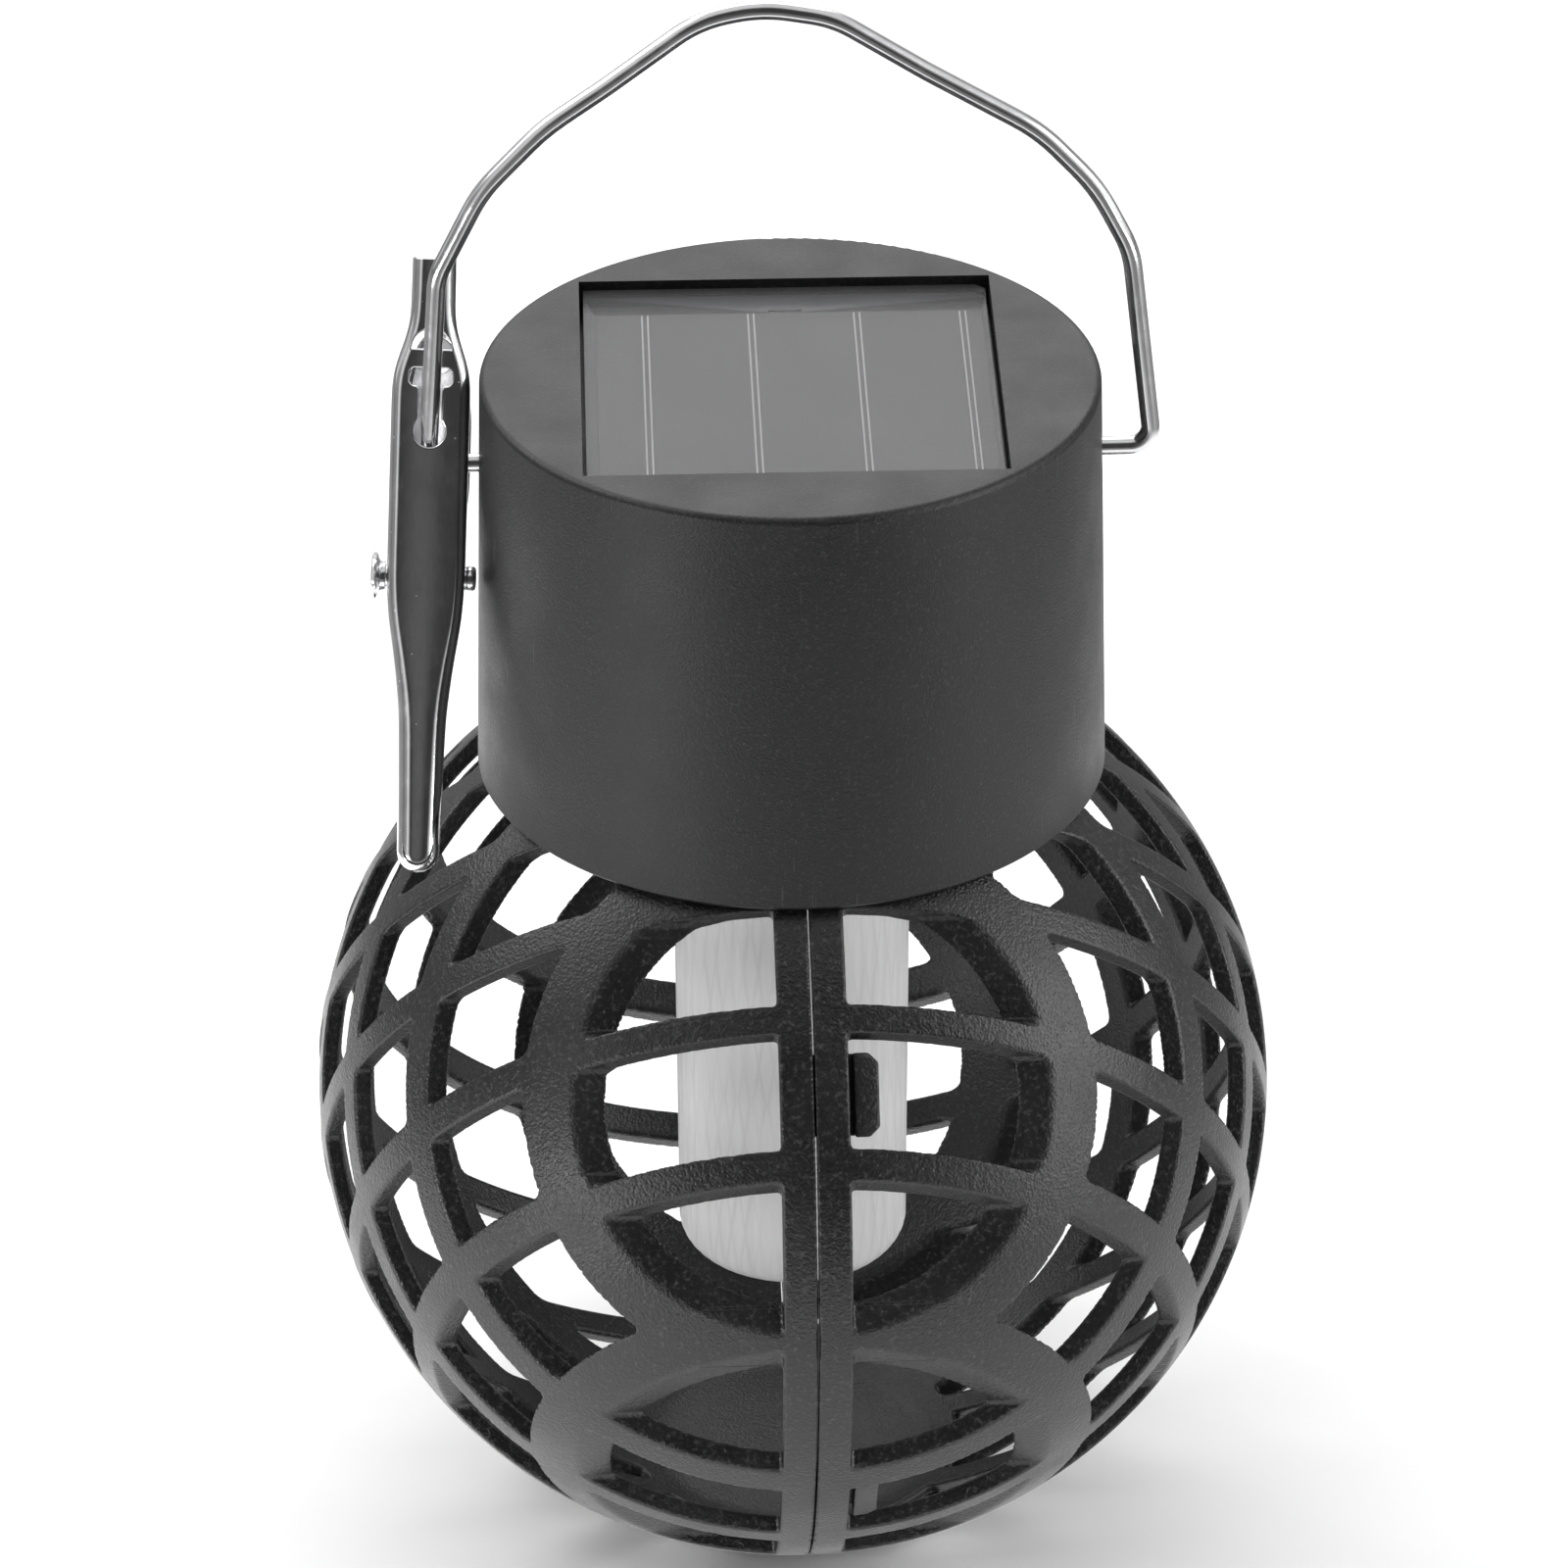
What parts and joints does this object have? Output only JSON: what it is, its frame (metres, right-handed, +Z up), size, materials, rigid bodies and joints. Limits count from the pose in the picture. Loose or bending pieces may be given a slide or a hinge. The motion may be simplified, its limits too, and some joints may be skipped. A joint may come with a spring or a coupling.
{
  "type": "hanging solar garden lantern",
  "caption": "Hanging garden lantern: openwork globe in moulded halves, round lamp head with a square solar panel on top, translucent diffuser tube, wire bail and a sprung hanging clip.",
  "frame": {"origin": "centre of the flat underside of the globe", "axes": "+Z up through the globe and lamp head; front (-Y) is the side the mould seam and latch openings face; +X to the right of the front, away from the clip"},
  "size_m": [0.1096, 0.11, 0.1899],
  "materials": {
    "cap_plastic": "fine grained, matt",
    "globe_plastic": "fine grained, matt",
    "foam_tape": "matt",
    "panel_laminate": "satin",
    "silicon": "satin",
    "silver_print": "satin",
    "resin": "satin",
    "wire_insulation": "gloss",
    "inner_plastic": "satin",
    "zinc_screw": "bright zinc",
    "board": "solder mask, satin",
    "component_black": "satin",
    "led_epoxy": "gloss",
    "cell_wrap": "shrink wrapped",
    "contact_plate": "nickel plated",
    "switch_black": "satin",
    "switch_white": "satin",
    "diffuser": "frosted, translucent",
    "bail_wire": "bright drawn",
    "clip_steel": "polished, stamped",
    "spring_steel": "bright"
  },
  "bodies": {
    "globe": {"globe_half_left": "globe_plastic", "globe_half_right": "globe_plastic"},
    "head": {"cap_shell": "cap_plastic", "panel_tape": "foam_tape", "panel_board": "panel_laminate", "solar_cell": "silicon", "cell_busbars": "silver_print", "panel_cover": "resin", "panel_leads": "wire_insulation", "base_plate": "inner_plastic", "base_screws": "zinc_screw", "circuit_board": "board", "board_parts": "component_black", "leds": "led_epoxy", "battery_holder": "inner_plastic", "battery_cell": "cell_wrap", "battery_contacts": "contact_plate", "switch_body": "switch_black", "diffuser_tube": "diffuser", "tube_ring": "inner_plastic"},
    "switch": {"switch_slider": "switch_white"},
    "bail": {"bail_handle": "bail_wire"},
    "clip_front": {"clip_front_jaw": "clip_steel", "clip_rivet": "clip_steel", "clip_spring": "spring_steel"},
    "clip_rear": {"clip_rear_jaw": "clip_steel"}
  },
  "joints": [
    {"name": "head_lift", "type": "slide", "parent": "globe", "child": "head", "axis": [0, 0, 1], "range_m": [0, 0.09]},
    {"name": "switch_slide", "type": "slide", "parent": "head", "child": "switch", "axis": [0, 1, 0], "range_m": [0, 0.004]},
    {"name": "bail_swing", "type": "hinge", "parent": "head", "child": "bail", "pos_m": [0, 0, 0.1348], "axis": [1, 0, 0], "range_deg": [-115, 0]},
    {"name": "clip_swing", "type": "hinge", "parent": "bail", "child": "clip_front", "pos_m": [-0.03985, 0, 0.1418], "axis": [1, 0, 0], "range_deg": [-40, 0]},
    {"name": "clip_open", "type": "hinge", "parent": "clip_front", "child": "clip_rear", "pos_m": [-0.04072, -0.00405, 0.12275], "axis": [0.9963, -0.0808, -0.0282], "range_deg": [0, 10]}
  ]
}
